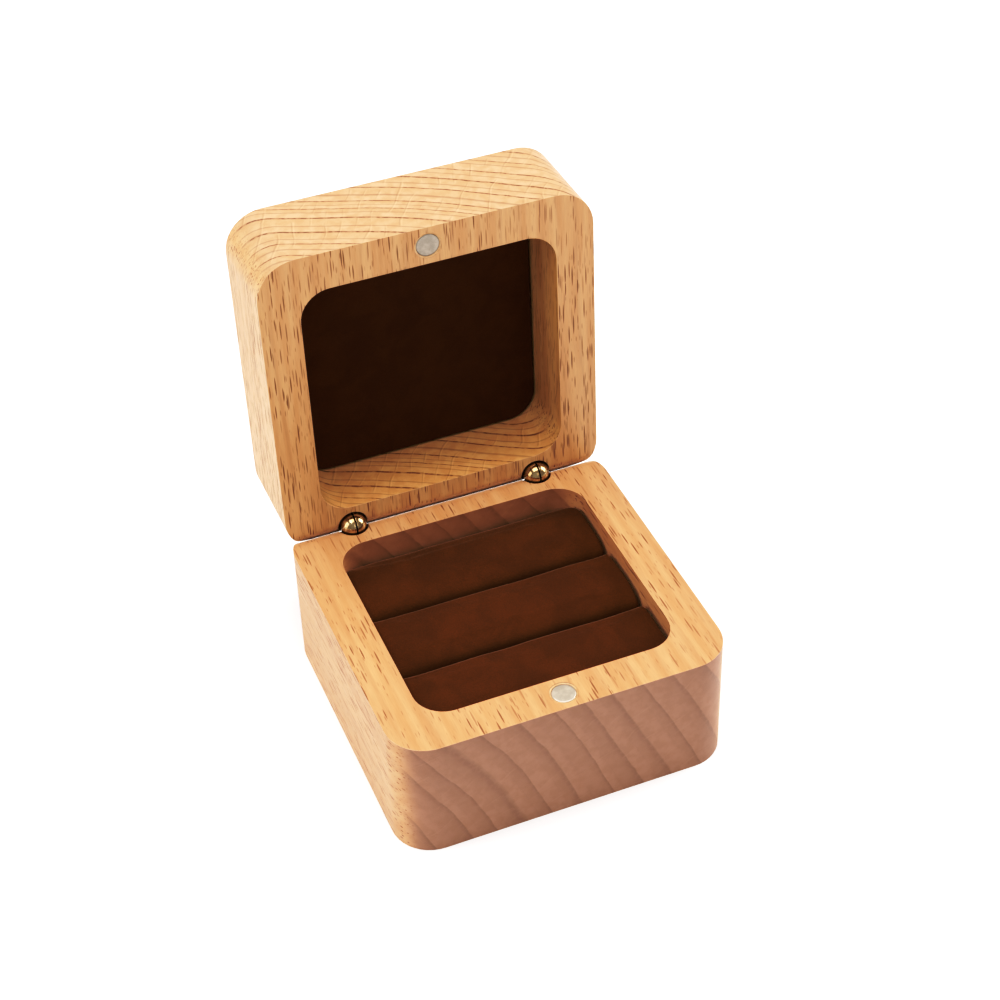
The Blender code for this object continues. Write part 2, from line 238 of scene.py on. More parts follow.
# A block's look: lengths in mm, colours in linear light, and strengths from 0 to 1
BASE_WOOD = {
    "closed": None,
    "pith": (-150.0, -70.0),  # across and up, in mm, in the closed box's frame
    "ring": 4.9,
    "wander": 7.0,
    "wobble": 0.6,
    "line_start": 0.74,
    "arc": 170.0,  # distance from the pith, in mm, at which the rays' pitch is measured
    "seed": 3.0,
    "pale": (0.535, 0.294, 0.143),
    "warm": (0.480, 0.243, 0.108),
    # The base's end grain: partly end grain's own deeper tone, and partly painted shade, set dark for the
    # front face, which stands in shade
    "end_pale": (0.306, 0.152, 0.090),
    "end_warm": (0.278, 0.134, 0.075),
    "late": (0.215, 0.099, 0.053),
    "shade": 0.55,
    "line": 0.42,
    "line_colour": (0.17, 0.075, 0.040),
    "minor": 0.14,
    "ring_along": 0.12,
    "ray": 0.06,
    "ray_pitch": 2.6,
    "ray_colour": (0.50, 0.30, 0.19),
    "spindle": (0.66, 5.6, 0.18, 2.3),
    "fleck": 0.9,
    "fleck_colour": (0.19, 0.070, 0.022),
    # painted highlight along the rounded edges: its strength and colour
    "edge_highlight": 0.5,
    "edge_highlight_colour": (0.78, 0.55, 0.36),
    # painted shade on the hollow's walls, along the grain and across it
    "hollow_shade_along": (0.98, 0.90, 0.86),
    "hollow_shade_end": (1.38, 1.28, 0.98),
}
LID_WOOD = {
    "closed": TO_CLOSED,
    "pith": (-90.0, -123.0),
    "ring": 3.6,
    "wander": 6.0,
    "wobble": 0.45,
    "line_start": 0.85,
    "arc": 165.0,
    "seed": 11.0,
    "pale": (0.560, 0.318, 0.150),
    "warm": (0.495, 0.255, 0.110),
    "end_pale": (0.565, 0.350, 0.205),
    "end_warm": (0.510, 0.292, 0.158),
    "late": (0.45, 0.24, 0.105),
    "shade": 0.30,
    "line": 1.0,
    "line_colour": (0.155, 0.064, 0.025),
    "minor": 0.42,
    "ring_along": 0.15,
    "ray": 0.24,
    "ray_pitch": 2.5,
    "ray_colour": (0.74, 0.50, 0.30),
    "spindle": (0.44, 4.7, 0.15, 2.4),
    "fleck": 0.95,
    "fleck_colour": (0.165, 0.060, 0.013),
    # painted highlight along the rounded edges: its strength and colour
    "edge_highlight": 0.5,
    "edge_highlight_colour": (0.78, 0.55, 0.36),
    # painted shade on the hollow's walls, along the grain and across it
    "hollow_shade_along": (0.99, 0.98, 0.80),
    "hollow_shade_end": (1.08, 0.95, 0.66),
}


def grain_frame(shader, closed):
    """Coordinates in mm and the surface normal, both in the closed block's frame: y is along the grain."""
    coordinates = shader.add("ShaderNodeTexCoord")
    place, normal = coordinates.outputs["Object"], coordinates.outputs["Normal"]
    if closed is not None:
        turn = closed.to_euler()
        moved = {"Vector": place, "Location": closed.to_translation(), "Rotation": turn}
        place = shader.add("ShaderNodeMapping", moved).outputs[0]
        turned_only = {"Vector": normal, "Rotation": turn}
        normal = shader.add("ShaderNodeMapping", turned_only, vector_type="VECTOR").outputs[0]
    return shader.vector("MULTIPLY", place, (MM_PER_M,) * 3), normal


def spindles(shader, place, across, along, half_width, half_length, seed):
    """Short strokes along the grain, pointed at both ends, and a random number for each."""
    scaled = shader.vector("MULTIPLY", place, (1 / across, 1 / along, 1 / across))
    scaled = shader.vector("ADD", scaled, (seed, seed, seed))
    cells = shader.add("ShaderNodeTexVoronoi", {"Vector": scaled, "Scale": 1.0, "Randomness": 1.0})
    x, y, z = shader.split(shader.vector("SUBTRACT", scaled, cells.outputs["Position"]))
    sideways = shader.vector("LENGTH", shader.join(x, 0.0, z))
    lengthways = shader.times(y, along / half_length)
    pointed = shader.times(lengthways, lengthways)
    wide = shader.times(sideways, across / half_width)
    shape = shader.minus(1.0, shader.plus(wide, pointed))
    chance = shader.split(cells.outputs["Color"])[0]
    return shader.spread(shape, *SPINDLE_FADE), chance


def flecks_along(shader, place, end_grain, look):
    """Dark flecks, crowded in some streaks and sparse in others, where the block is cut along its grain."""
    strong, strong_chance = spindles(shader, place, *look["spindle"], look["seed"])
    faint, faint_chance = spindles(shader, place, *FAINT_SPINDLE, look["seed"] + FAINT_SEED_SHIFT)
    strong = shader.times(strong, shader.spread(strong_chance, *STRONG_FLECK))
    faint = shader.times(faint, shader.spread(faint_chance, *FAINT_FLECK))
    crowded = shader.spread(shader.noise(place, CROWDING), *CROWDED)
    return shader.times(shader.calc("MAXIMUM", strong, faint), crowded, shader.minus(1.0, end_grain))


def growth_rings(shader, place, look):
    """A point's place in its ring from 0 to 1, its angle round the pith, and its distance from the pith."""
    x, _, z = shader.split(place)
    across, up = look["pith"]
    sideways = shader.minus(x, across)
    upward = shader.minus(z, up)
    radius = shader.vector("LENGTH", shader.join(sideways, 0.0, upward))
    wander = shader.noise(place, RING_WANDER, detail=1.0)
    wobble = shader.noise(place, RING_WOBBLE, detail=3.0)
    moved = shader.plus(radius, shader.times(wander, look["wander"]))
    moved = shader.plus(moved, shader.times(wobble, look["wobble"]))
    change, depth = RING_UNEVENNESS
    along_radius = shader.join(shader.times(moved, change), look["seed"], look["seed"])
    uneven = shader.noise(along_radius, detail=1.0)
    moved = shader.plus(moved, shader.times(uneven, depth * look["ring"]))
    phase = shader.calc("FRACT", shader.calc("DIVIDE", moved, look["ring"]))
    return phase, shader.calc("ARCTAN2", upward, sideways), radius


def ringed(shader, colour, phase, broken, end_grain, look):
    """The colour with its rings laid over it, and how strong their dark lines are."""
    line = shader.band(phase, (look["line_start"], RING_LINE_FULL), RING_LINE_END)
    line = shader.times(line, shader.spread(broken, *PATCHY_LINE))
    minor_phase = shader.calc("FRACT", shader.times(phase, MINOR_RINGS))
    minor = shader.times(shader.band(minor_phase, *MINOR_LINE), look["minor"])
    line = shader.calc("MAXIMUM", line, minor)
    amount = shader.spread(end_grain, 0.0, 1.0, look["ring_along"], 1.0, "LINEAR")
    late_wood = shader.times(shader.band(phase, *LATE_WOOD), amount, look["shade"])
    colour = shader.mix(late_wood, colour, look["late"])
    colour = shader.mix(shader.times(line, amount, look["line"]), colour, look["line_colour"])
    return colour, line


def rayed(shader, colour, place, around, radius, broken, end_grain, look):
    """The colour with thin broken lines that run out from the pith, a pale one beside each dark one."""
    arc_mm = shader.times(around, look["arc"])
    sway = shader.noise(place, RAY_SWAY, detail=1.0)
    turn = shader.plus(shader.calc("DIVIDE", arc_mm, look["ray_pitch"]), shader.times(sway, RAY_SWAY_DEPTH))
    phase = shader.calc("FRACT", shader.plus(turn, shader.times(broken, RAY_ROUGHNESS)))
    patches = shader.noise(shader.join(arc_mm, shader.split(place)[1], radius), RAY_PATCHES)
    strength = shader.times(shader.spread(patches, *RAY_PRESENT), end_grain, look["ray"])
    pale = shader.times(shader.band(phase, *RAY_PALE), strength)
    dark = shader.times(shader.band(phase, *RAY_DARK), strength)
    colour = shader.mix(pale, colour, look["ray_colour"])
    return shader.mix(dark, colour, look["line_colour"])


def hollow_shaded(shader, colour, place, upright, end_grain, look):
    """The colour, with painted shade on the walls of the hollow: a tone that warms them and darkens their
    long grain, and the lid's end grain too, while on the base's end-grain walls it brightens them, taking
    back part of the painted shade given to the base's end grain.
    """
    x, y, _ = shader.split(place)
    across = shader.spread(shader.calc("ABSOLUTE", x), *HOLLOW_REACH_MM)
    along = shader.spread(shader.calc("ABSOLUTE", y), *HOLLOW_REACH_MM)
    # Painted shade: the hollow's walls are multiplied by a tone that stands for their shade
    inside = shader.times(across, along, shader.spread(upright, *HOLLOW_WALL))
    tone = shader.mix(end_grain, look["hollow_shade_along"], look["hollow_shade_end"])
    tone = shader.mix(inside, (1.0, 1.0, 1.0), tone)
    return shader.mix(1.0, colour, tone, "MULTIPLY")


def beech(name, look):
    """Solid beech: rings and rays where the block is cut across, short flecks where it is cut along."""
    shader = Shader(name)
    place, normal = grain_frame(shader, look["closed"])
    end_grain = shader.spread(shader.calc("ABSOLUTE", shader.split(normal)[1]), *END_GRAIN)
    upright = shader.calc("ABSOLUTE", shader.split(normal)[2])
    phase, around, radius = growth_rings(shader, place, look)
    broken = shader.noise(place, BREAKS, detail=3.0)
    flecks = flecks_along(shader, place, end_grain, look)
    streaks = shader.noise(place, STREAKS, detail=3.0)
    fibres = shader.noise(place, FIBRES, detail=3.0)
    pores = shader.noise(place, PORES)
    fine = shader.mix(end_grain, shader.join(fibres, fibres, fibres), shader.join(pores, pores, pores))
    fine = shader.split(fine)[0]

    streaky = shader.spread(streaks, *MIDDLE)
    colour = shader.mix(streaky, look["pale"], look["warm"])
    colour = shader.mix(end_grain, colour, shader.mix(streaky, look["end_pale"], look["end_warm"]))
    colour, line = ringed(shader, colour, phase, broken, end_grain, look)
    colour = rayed(shader, colour, place, around, radius, broken, end_grain, look)
    colour = shader.mix(shader.times(flecks, look["fleck"]), colour, look["fleck_colour"])
    colour = hollow_shaded(shader, colour, place, upright, end_grain, look)
    # Painted highlight: a paler colour along the rounded edges, where their rounding would catch the light
    painted_edge_highlight = shader.times(shader.band(upright, *HIGHLIGHT_EDGE), shader.spread(streaks, *HIGHLIGHT_PATCHY))
    colour = shader.mix(shader.times(painted_edge_highlight, look["edge_highlight"]), colour, look["edge_highlight_colour"])
    colour = shader.brightened(colour, shader.spread(fine, *WIDE, *FINE_SHADING, "LINEAR"))

    rough = shader.spread(fine, *WIDE, *WOOD_ROUGHNESS, "LINEAR")
    relief = shader.minus(shader.times(fine, TOOTH_RELIEF), flecks)
    relief = shader.minus(relief, shader.times(line, LINE_RELIEF))
    shader.set(
        Base_Color=colour,
        Roughness=shader.plus(rough, shader.times(flecks, FLECK_ROUGHNESS)),
        Normal=shader.bump(relief, FLECK_DEPTH, strength=0.6),
        IOR=1.5,
    )
    return shader.material


# ---- velvet, metal, foam, card and glue ----

# Velvet, for a shade of 1 (a lower shade is a darker copy, painted shade): where the nap leans away and
# towards, and a painted highlight where the surface turns to face the rear
NAP_DEEP = (0.071, 0.0190, 0.0034)
NAP_HIGH = (0.087, 0.0240, 0.0042)
NAP_HIGHLIGHT = (0.30, 0.14, 0.065)
NAP_LEANS = (0.34, 0.68)
HIGHLIGHT_FACING = ((0.38, 0.64), (0.75, 0.95))  # by how far the surface faces the rear
HIGHLIGHT_TUFTS = (0.35, 0.6, 0.3, 1.0)
PILE_SHADING = (0.72, 1.28)
PILE_HEIGHT = 0.09 * MM
TUFT_RELIEF = 1.5  # as a share of the pile's height

# How fast each pattern changes in a millimetre, along x, y and z
NAP_PATCHES = (0.16, 0.16, 0.16)
SCRATCHES = (2.0, 22.0, 9.0)
PAPER_FIBRES = (5.0, 0.9, 5.0)

TARNISH = (0.45, 0.8)
POLISH = (0.8, 1.3)  # the least and the most, as a share of a metal's roughness

# The pits' darker tone is painted shade
FOAM_PIT_SHADE = (0.45, 0.40, 0.29)
FOAM_SKIN = (0.78, 0.73, 0.60)
LARGE_PIT = (0.1, 0.45)
SMALL_PIT = (0.1, 0.5, 0.5, 1.0)
PIT_DEPTH = 0.2 * MM

CARD_DARK = (0.36, 0.28, 0.19)
CARD_PALE = (0.48, 0.39, 0.27)
CARD_FIBRE = (0.20, 0.15, 0.10)
FIBRE_SHOWS = (0.62, 0.75, 0.0, 0.5)
FIBRE_HEIGHT = 0.05 * MM

GLUE_DARK = (0.48, 0.28, 0.14)
GLUE_PALE = (0.56, 0.35, 0.18)
GLUE_ROUGHNESS = (0.3, 0.45)
GLUE_SKIN = 0.02 * MM


def velvet(name, shade, edge):
    """Short cotton pile: patches where the nap leans, a fine tooth, and a painted highlight where the
    surface turns to face the rear. Shade scales its colours: below 1 it makes a darker copy, which is
    painted shade.
    """
    shader = Shader(name)
    place = shader.place_mm()
    to_rear = shader.split(shader.add("ShaderNodeTexCoord").outputs["Normal"])[1]
    nap = shader.noise(place, NAP_PATCHES, detail=3.0, distortion=0.6)
    tufts = shader.noise(place, scale=3.2, detail=4.0, roughness=0.7)
    pile = shader.noise(place, scale=11.0, roughness=0.6)
    leaning = shader.plus(nap, shader.times(shader.minus(tufts, 0.5), 0.5))
    low = tuple(c * shade for c in NAP_DEEP)
    high = tuple(c * shade for c in NAP_HIGH)
    colour = shader.mix(shader.spread(leaning, *NAP_LEANS), low, high)
    # Painted highlight: a paler colour where the surface turns to face the rear, standing for light caught
    # by the pile over the edge
    over = shader.band(to_rear, *HIGHLIGHT_FACING)
    painted_highlight = shader.times(over, shader.spread(pile, *HIGHLIGHT_TUFTS), edge)
    colour = shader.mix(painted_highlight, colour, NAP_HIGHLIGHT)
    colour = shader.brightened(colour, shader.spread(pile, *WIDE, *PILE_SHADING, "LINEAR"))
    height = shader.plus(pile, shader.times(tufts, TUFT_RELIEF))
    shader.set(
        Base_Color=colour,
        Normal=shader.bump(height, PILE_HEIGHT, strength=0.8),
        Roughness=0.95,
        Specular_IOR_Level=0.12,
        Sheen_Weight=0.12 * shade,
        Sheen_Roughness=0.3,
        Sheen_Tint=(0.75, 0.36, 0.14),
    )
    return shader.material


def metal(name, pale, deep, roughness, scratch):
    """Plated metal: faint cloudy tone, hair scratches of a depth in metres, and an uneven polish."""
    shader = Shader(name)
    place = shader.place_mm()
    cloud = shader.noise(place, scale=0.9, detail=3.0)
    hairs = shader.noise(place, SCRATCHES, roughness=0.6)
    grit = shader.noise(place, scale=14.0)
    tarnish = shader.spread(shader.plus(cloud, shader.times(hairs, 0.3)), *TARNISH)
    least, most = (roughness * share for share in POLISH)
    shader.set(
        Base_Color=shader.mix(tarnish, pale, deep),
        Roughness=shader.spread(grit, *WIDE, least, most, "LINEAR"),
        Normal=shader.bump(shader.plus(hairs, shader.times(grit, 0.5)), scratch, strength=0.5),
        Metallic=1.0,
    )
    return shader.material


def foam(name):
    """Open-cell foam: rounded pits of two sizes in a cream skin, darker in the pits: painted shade."""
    shader = Shader(name)
    place = shader.place_mm()
    large = shader.add("ShaderNodeTexVoronoi", {"Vector": place, "Scale": 2.6}).outputs["Distance"]
    small = shader.add("ShaderNodeTexVoronoi", {"Vector": place, "Scale": 6.0}).outputs["Distance"]
    pits = shader.times(shader.spread(large, *LARGE_PIT), shader.spread(small, *SMALL_PIT))
    shader.set(
        Base_Color=shader.mix(pits, FOAM_PIT_SHADE, FOAM_SKIN),
        Normal=shader.bump(pits, PIT_DEPTH, strength=0.8),
        Roughness=0.9,
    )
    return shader.material


def card(name):
    """Grey-brown backing card: pulp clouds, flecks of fibre and a slight tooth."""
    shader = Shader(name)
    place = shader.place_mm()
    clouds = shader.noise(place, scale=0.35, detail=3.0)
    fibre = shader.noise(place, PAPER_FIBRES, detail=3.0, distortion=1.2)
    colour = shader.mix(shader.spread(clouds, *MIDDLE), CARD_DARK, CARD_PALE)
    colour = shader.mix(shader.spread(fibre, *FIBRE_SHOWS), colour, CARD_FIBRE)
    shader.set(
        Base_Color=colour,
        Normal=shader.bump(fibre, FIBRE_HEIGHT, strength=0.6),
        Roughness=0.85,
    )
    return shader.material


def glue(name):
    """Wood glue that has set round the magnets: the tone of the beech, clouded, with an uneven skin."""
    shader = Shader(name)
    cloud = shader.noise(shader.place_mm(), scale=1.6, detail=3.0)
    shader.set(
        Base_Color=shader.mix(shader.spread(cloud, *MIDDLE), GLUE_DARK, GLUE_PALE),
        Roughness=shader.spread(cloud, *WIDE, *GLUE_ROUGHNESS, "LINEAR"),
        Normal=shader.bump(cloud, GLUE_SKIN, strength=0.6),
    )
    return shader.material


BASE_BEECH = beech("beech_base", BASE_WOOD)
LID_BEECH = beech("beech_lid", LID_WOOD)
CUSHION_VELVET = velvet("velvet_cushion", shade=1.04, edge=0.85)
# The liner is the same velvet at a lower shade: painted shade for the lid's hollow, which gets less light
LINER_VELVET_SHADED = velvet("velvet_liner_shaded", shade=0.74, edge=0.0)
BRASS = metal(
    "brass",
    pale=(0.62, 0.47, 0.27),
    deep=(0.33, 0.21, 0.10),
    roughness=0.13,
    scratch=0.006 * MM,
)
BASE_NICKEL = metal(
    "nickel_base",
    pale=(0.66, 0.58, 0.48),
    deep=(0.53, 0.47, 0.39),
    roughness=0.45,
    scratch=0.015 * MM,
)
# The lid's magnet is a darker copy of the base's nickel: painted shade for the lid's hollow, where it faces
# the front and gets less light
LID_NICKEL_SHADED = metal(
    "nickel_lid_shaded",
    pale=(0.44, 0.39, 0.33),
    deep=(0.36, 0.32, 0.27),
    roughness=0.5,
    scratch=0.015 * MM,
)
FOAM = foam("foam")
CARD = card("card")
GLUE = glue("glue")


# ---- CAD nodes ----

WELD_DISTANCE = 0.001 * MM  # the nodes arrive as loose triangles
SHARP_ANGLE = math.radians(50)


def dress(node, look):
    """Gives a CAD node its material, and shades its round stretches smoothly and its flat ones flat."""
    made = frame["nodes"][node]
    made.data.materials.clear()
    made.data.materials.append(look)
    for name in ("custom_normal", "sharp_edge", "sharp_face"):
        if name in made.data.attributes:
            made.data.attributes.remove(made.data.attributes[name])
    made.data.shade_smooth()
    weld = made.modifiers.new("weld", "WELD")
    weld.merge_threshold = WELD_DISTANCE
    split = made.modifiers.new("split", "EDGE_SPLIT")
    split.split_angle = SHARP_ANGLE
    weighted = made.modifiers.new("weighted", "WEIGHTED_NORMAL")
    weighted.mode = "FACE_AREA"
    weighted.weight = 100


# ---- hinges and magnets ----

KNUCKLE_RADIUS = 2.4 * MM
KNUCKLE_SLIT = 0.3 * MM  # between the two halves of the ball
NECK_RADIUS = 2.1 * MM
BARREL_RADIUS = 2.15 * MM
BARREL_START = 2.75 * MM  # from the hinge axis to the shoulder of the barrel
BARREL_LENGTH = 11 * MM  # from the hinge axis to the blind end
GROOVES = 4
GROOVE_PITCH = 1.4 * MM
GROOVE_DEPTH = 0.2 * MM
SHOULDER = 0.1 * MM
PIN_HOLE_RADIUS = 0.7 * MM
PIN_HOLE_DEPTH = 1.7 * MM  # from the middle of the ball
MACHINED_EDGE = 0.09 * MM
MACHINED_EDGE_ANGLE = math.radians(55)
SMOOTH_ANGLE = math.radians(38)
ROUND_STEPS = 72
SIDEWAYS = Matrix.Rotation(math.radians(90), 4, "Y")

# The ring of glue: its section as radius and depth below the middle of the rims, in mm
GLUE_SECTION_MM = ((2.11, 0.15), (2.2, 0.13), (2.3, 0.08), (2.36, 0.03), (2.36, 0.6), (2.11, 0.6))
HALF_RIM_GAP = 0.15 * MM


def linked(name, bm):
    """An object in the scene, from a bmesh that is used up."""
    mesh = bpy.data.meshes.new(name)
    bm.to_mesh(mesh)
    bm.free()
    made = bpy.data.objects.new(name, mesh)
    bpy.context.scene.collection.objects.link(made)
    return made


def bridge(bm, first, second):
    """Faces between two rings of points: a ring of one point is a tip."""
    count = max(len(first), len(second))
    for i in range(count):
        j = (i + 1) % count
        corners = [ring[k % len(ring)] for ring, k in ((first, i), (first, j), (second, j), (second, i))]
        bm.faces.new(list(dict.fromkeys(corners)))


def turned(name, profile, closed=False):
    """A profile of (radius, height) points turned about Z: closed joins its last point to its first."""
    bm = bmesh.new()
    rings = []
    for radius, height in profile:
        steps = ROUND_STEPS if radius else 1
        angles = [2 * math.pi * i / steps for i in range(steps)]
        rings.append([bm.verts.new((radius * math.cos(a), radius * math.sin(a), height)) for a in angles])
    for first, second in zip(rings, rings[1:]):
        bridge(bm, first, second)
    if closed:
        bridge(bm, rings[-1], rings[0])
    bmesh.ops.recalc_face_normals(bm, faces=bm.faces[:])
    return linked(name, bm)


def carve(target, operation, tool):
    boolean = target.modifiers.new(operation.lower(), "BOOLEAN")
    boolean.operation = operation
    boolean.solver = "EXACT"
    boolean.object = tool


def settle(piece, tools, matrix):
    """Applies a piece's modifiers, removes its tools and moves its mesh to its place."""
    evaluated = piece.evaluated_get(bpy.context.evaluated_depsgraph_get())
    mesh = bpy.data.meshes.new_from_object(evaluated)
    piece.modifiers.clear()
    piece.data = mesh
    for tool in tools:
        bpy.data.objects.remove(tool)
    mesh.transform(matrix)
    mesh.shade_smooth()
    mesh.set_sharp_from_angle(angle=SMOOTH_ANGLE)


def shank_profile():
    """From the hinge axis down: neck, shoulder, press-in grooves and a chamfered blind end."""
    chamfer = 2 * GROOVE_DEPTH
    points = [(0, 0), (NECK_RADIUS, 0), (NECK_RADIUS, BARREL_START)]
    points.append((BARREL_RADIUS - SHOULDER, BARREL_START))
    points.append((BARREL_RADIUS, BARREL_START + SHOULDER))
    for i in range(GROOVES):
        groove = BARREL_START + GROOVE_PITCH * (i + 1)
        points.append((BARREL_RADIUS, groove - GROOVE_DEPTH))
        points.append((BARREL_RADIUS - GROOVE_DEPTH, groove))
        points.append((BARREL_RADIUS, groove + GROOVE_DEPTH))
    points.append((BARREL_RADIUS, BARREL_LENGTH - chamfer))
    points.append((BARREL_RADIUS - chamfer, BARREL_LENGTH))
    points.append((0, BARREL_LENGTH))
    return points


def ball_tool():
    """The whole ball of a knuckle, with its poles on X."""
    steps = ROUND_STEPS // 2
    angles = [math.pi * i / steps for i in range(1, steps)]
    profile = [(0, KNUCKLE_RADIUS)]
    profile.extend((KNUCKLE_RADIUS * math.sin(a), KNUCKLE_RADIUS * math.cos(a)) for a in angles)
    profile.append((0, -KNUCKLE_RADIUS))
    ball = turned("ball", profile)
    ball.data.transform(SIDEWAYS)
    return ball


def other_half_tool(lobe_side, grows):
    """A block that takes away the partner's half of the ball, down to the shoulder of the barrel."""
    reach = 2 * KNUCKLE_RADIUS
    bm = bmesh.new()
    bmesh.ops.create_cube(bm, size=2 * reach)
    shift = (lobe_side * (KNUCKLE_SLIT / 2 - reach), 0, grows * (BARREL_START - reach))
    bmesh.ops.translate(bm, vec=shift, verts=bm.verts[:])
    return linked("other_half", bm)


def pin_hole_tool():
    profile = [
        (0, -PIN_HOLE_DEPTH),
        (PIN_HOLE_RADIUS, -PIN_HOLE_DEPTH),
        (PIN_HOLE_RADIUS, PIN_HOLE_DEPTH),
        (0, PIN_HOLE_DEPTH),
    ]
    hole = turned("hole", profile)
    hole.data.transform(SIDEWAYS)
    return hole


def knuckle_barrel(side, half, grows, lobe_side, body):
    """A brass barrel that ends in half a ball, slit down the middle for its partner."""
    piece = turned(f"{side}_hinge_{half}_knuckle", [(r, grows * h) for r, h in shank_profile()])
    ball = ball_tool()
    other_half = other_half_tool(lobe_side, grows)
    hole = pin_hole_tool()
    carve(piece, "UNION", ball)
    carve(piece, "DIFFERENCE", other_half)
    carve(piece, "DIFFERENCE", hole)
    bevel = piece.modifiers.new("edges", "BEVEL")
    bevel.width = MACHINED_EDGE
    bevel.segments = 2
    bevel.limit_method = "ANGLE"
    bevel.angle_limit = MACHINED_EDGE_ANGLE
    low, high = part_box(f"{side}_hinge_pin")
    place = Matrix.Translation(((low.x + high.x) / 2, HINGE_POINT.y, HINGE_POINT.z))
    settle(piece, (ball, other_half, hole), TO_OPEN @ place if body == LID else place)
    piece.data.materials.append(BRASS)
    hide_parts(f"{side}_hinge_{half}_barrel")
    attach(piece, body)


def hinges():
    for side, outward in (("left", -1), ("right", 1)):
        knuckle_barrel(side, "base", -1, outward, BASE)
        knuckle_barrel(side, "lid", 1, -outward, LID)
        dress(f"{side}_hinge_pin", BRASS)


def magnet_glue(body, grows):
    """The ring of glue between a magnet and its hole: with the lid shut, the two magnets face each other."""
    rim = HINGE_POINT.z + grows * HALF_RIM_GAP
    low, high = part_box("base_magnet")
    section = [(radius * MM, grows * depth * MM) for radius, depth in GLUE_SECTION_MM]
    ring = turned(f"{body}_magnet_glue", section, closed=True)
    place = Matrix.Translation((0, (low.y + high.y) / 2, rim))
    settle(ring, (), TO_OPEN @ place if body == LID else place)
    ring.data.materials.append(GLUE)
    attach(ring, body)


# ---- cushions ----

CUSHIONS = ("rear", "middle", "front")
FIRST_SEED = 20.0
SEED_STEP = 3.7
CORE_SEED_SHIFT = 5
MESH_STEP = 0.6 * MM
CAP_RINGS = 8
HEART_HEIGHT = 0.45  # of a cushion's height: the point that its end faces' rings run in to
SIDE_STEPS = 24
TOP_STEPS = 90
START_INSET = 0.12 * MM
CORE_INSET = 0.3 * MM
COVER_ROOM = 0.9 * MM  # from the cover's outside to its foam
CAVITY_CORNER = 5.2 * MM  # of the insert's outline, seen from above

# The turn from the top into the front and the rear side: its height and its exponent
FULL_EDGE = (2.0 * MM, 5.0)
SOFT_EDGE = (2.8 * MM, 3.0)
SLACK_EDGE = (3.0 * MM, 2.6)
EDGES = {
    "rear": (SOFT_EDGE, SLACK_EDGE),
    "middle": (SOFT_EDGE, FULL_EDGE),
    "front": (FULL_EDGE, FULL_EDGE),
}

# The swelling of the covers
SIM_SCALE = 10  # they are simulated ten times life size
SIM_FRAMES = 20
SIM_PRESSURE = 4.0
SWELL = 0.3 * MM  # the most that a point may move
GLUED_HEIGHT = 2 * MM  # how far up from a cover's underside its points are held

# Unevenness: height and wavelength
COVER_LUMPS = (0.16 * MM, 6.5 * MM)
CORE_LUMPS = (0.1 * MM, 2.0 * MM)
SOFT_STOP = 0.25 * MM  # a point that comes this close to its box's side slows down


def roll_section(half_depth, height, edges):
    """Outline of a rolled cushion, as (y, z) from the middle of its underside, going round once."""
    front_edge, rear_edge = edges
    points = []
    for i in range(SIDE_STEPS):
        points.append((half_depth, (height - rear_edge[0]) * i / SIDE_STEPS))
    for i in range(TOP_STEPS + 1):
        angle = math.pi * i / TOP_STEPS
        turn_height, power = rear_edge if math.cos(angle) > 0 else front_edge
        across = math.copysign(abs(math.cos(angle)) ** (2 / power), math.cos(angle))
        up = math.sin(angle) ** (2 / power)
        points.append((half_depth * across, height - turn_height * (1 - up)))
    for i in range(SIDE_STEPS):
        points.append((-half_depth, (height - front_edge[0]) * (1 - (i + 1) / SIDE_STEPS)))
    bottom_steps = max(2, round(2 * half_depth / MESH_STEP))
    for i in range(1, bottom_steps):
        points.append((-half_depth + 2 * half_depth * i / bottom_steps, 0.0))
    return points


def even_outline(points, count):
    """The same closed outline, with its points at even distances."""
    closed = [Vector((y, z)) for y, z in points]
    closed.append(closed[0])
    run = [0.0]
    for a, b in zip(closed, closed[1:]):
        run.append(run[-1] + (b - a).length)
    even = []
    at = 0
    for i in range(count):
        wanted = run[-1] * i / count
        while run[at + 1] < wanted:
            at += 1
        share = (wanted - run[at]) / max(run[at + 1] - run[at], 1e-12)
        even.append(closed[at].lerp(closed[at + 1], share))
    return even


def cap(bm, end):
    """Fills a ring with triangles round its middle."""
    centre = bm.verts.new(sum((v.co for v in end), Vector()) / len(end))
    bridge(bm, end, [centre])


def rolled_cushion(name, low, high, inset, edges):
    """A closed quad mesh of a rolled cushion in the box from low to high, drawn in by inset."""
    low = Vector(low) + Vector((inset,) * 3)
    high = Vector(high) - Vector((inset,) * 3)
    middle = (low + high) / 2
    half = (high - low) / 2
    height = high.z - low.z
    outline = roll_section(half.y, height, edges)
    perimeter = sum((Vector(a) - Vector(b)).length for a, b in zip(outline, outline[1:]))
    section = even_outline(outline, round(perimeter / MESH_STEP))
    heart = Vector((0.0, height * HEART_HEIGHT))
    along = max(8, round(2 * half.x / MESH_STEP))
    stations = [-half.x + 2 * half.x * i / along for i in range(along + 1)]
    shares = [step / CAP_RINGS for step in range(1, CAP_RINGS)]
    places = [(stations[0], share) for share in shares]
    places.extend((x, 1.0) for x in stations)
    places.extend((stations[-1], share) for share in reversed(shares))
    bm = bmesh.new()
    rings = []
    for x, share in places:
        points = [heart.lerp(point, share) for point in section]
        rings.append([bm.verts.new((middle.x + x, middle.y + p.x, low.z + p.y)) for p in points])
    for first, second in zip(rings, rings[1:]):
        bridge(bm, first, second)
    for end in (rings[0], rings[-1]):
        cap(bm, end)
    bmesh.ops.recalc_face_normals(bm, faces=bm.faces[:])
    return linked(name, bm)


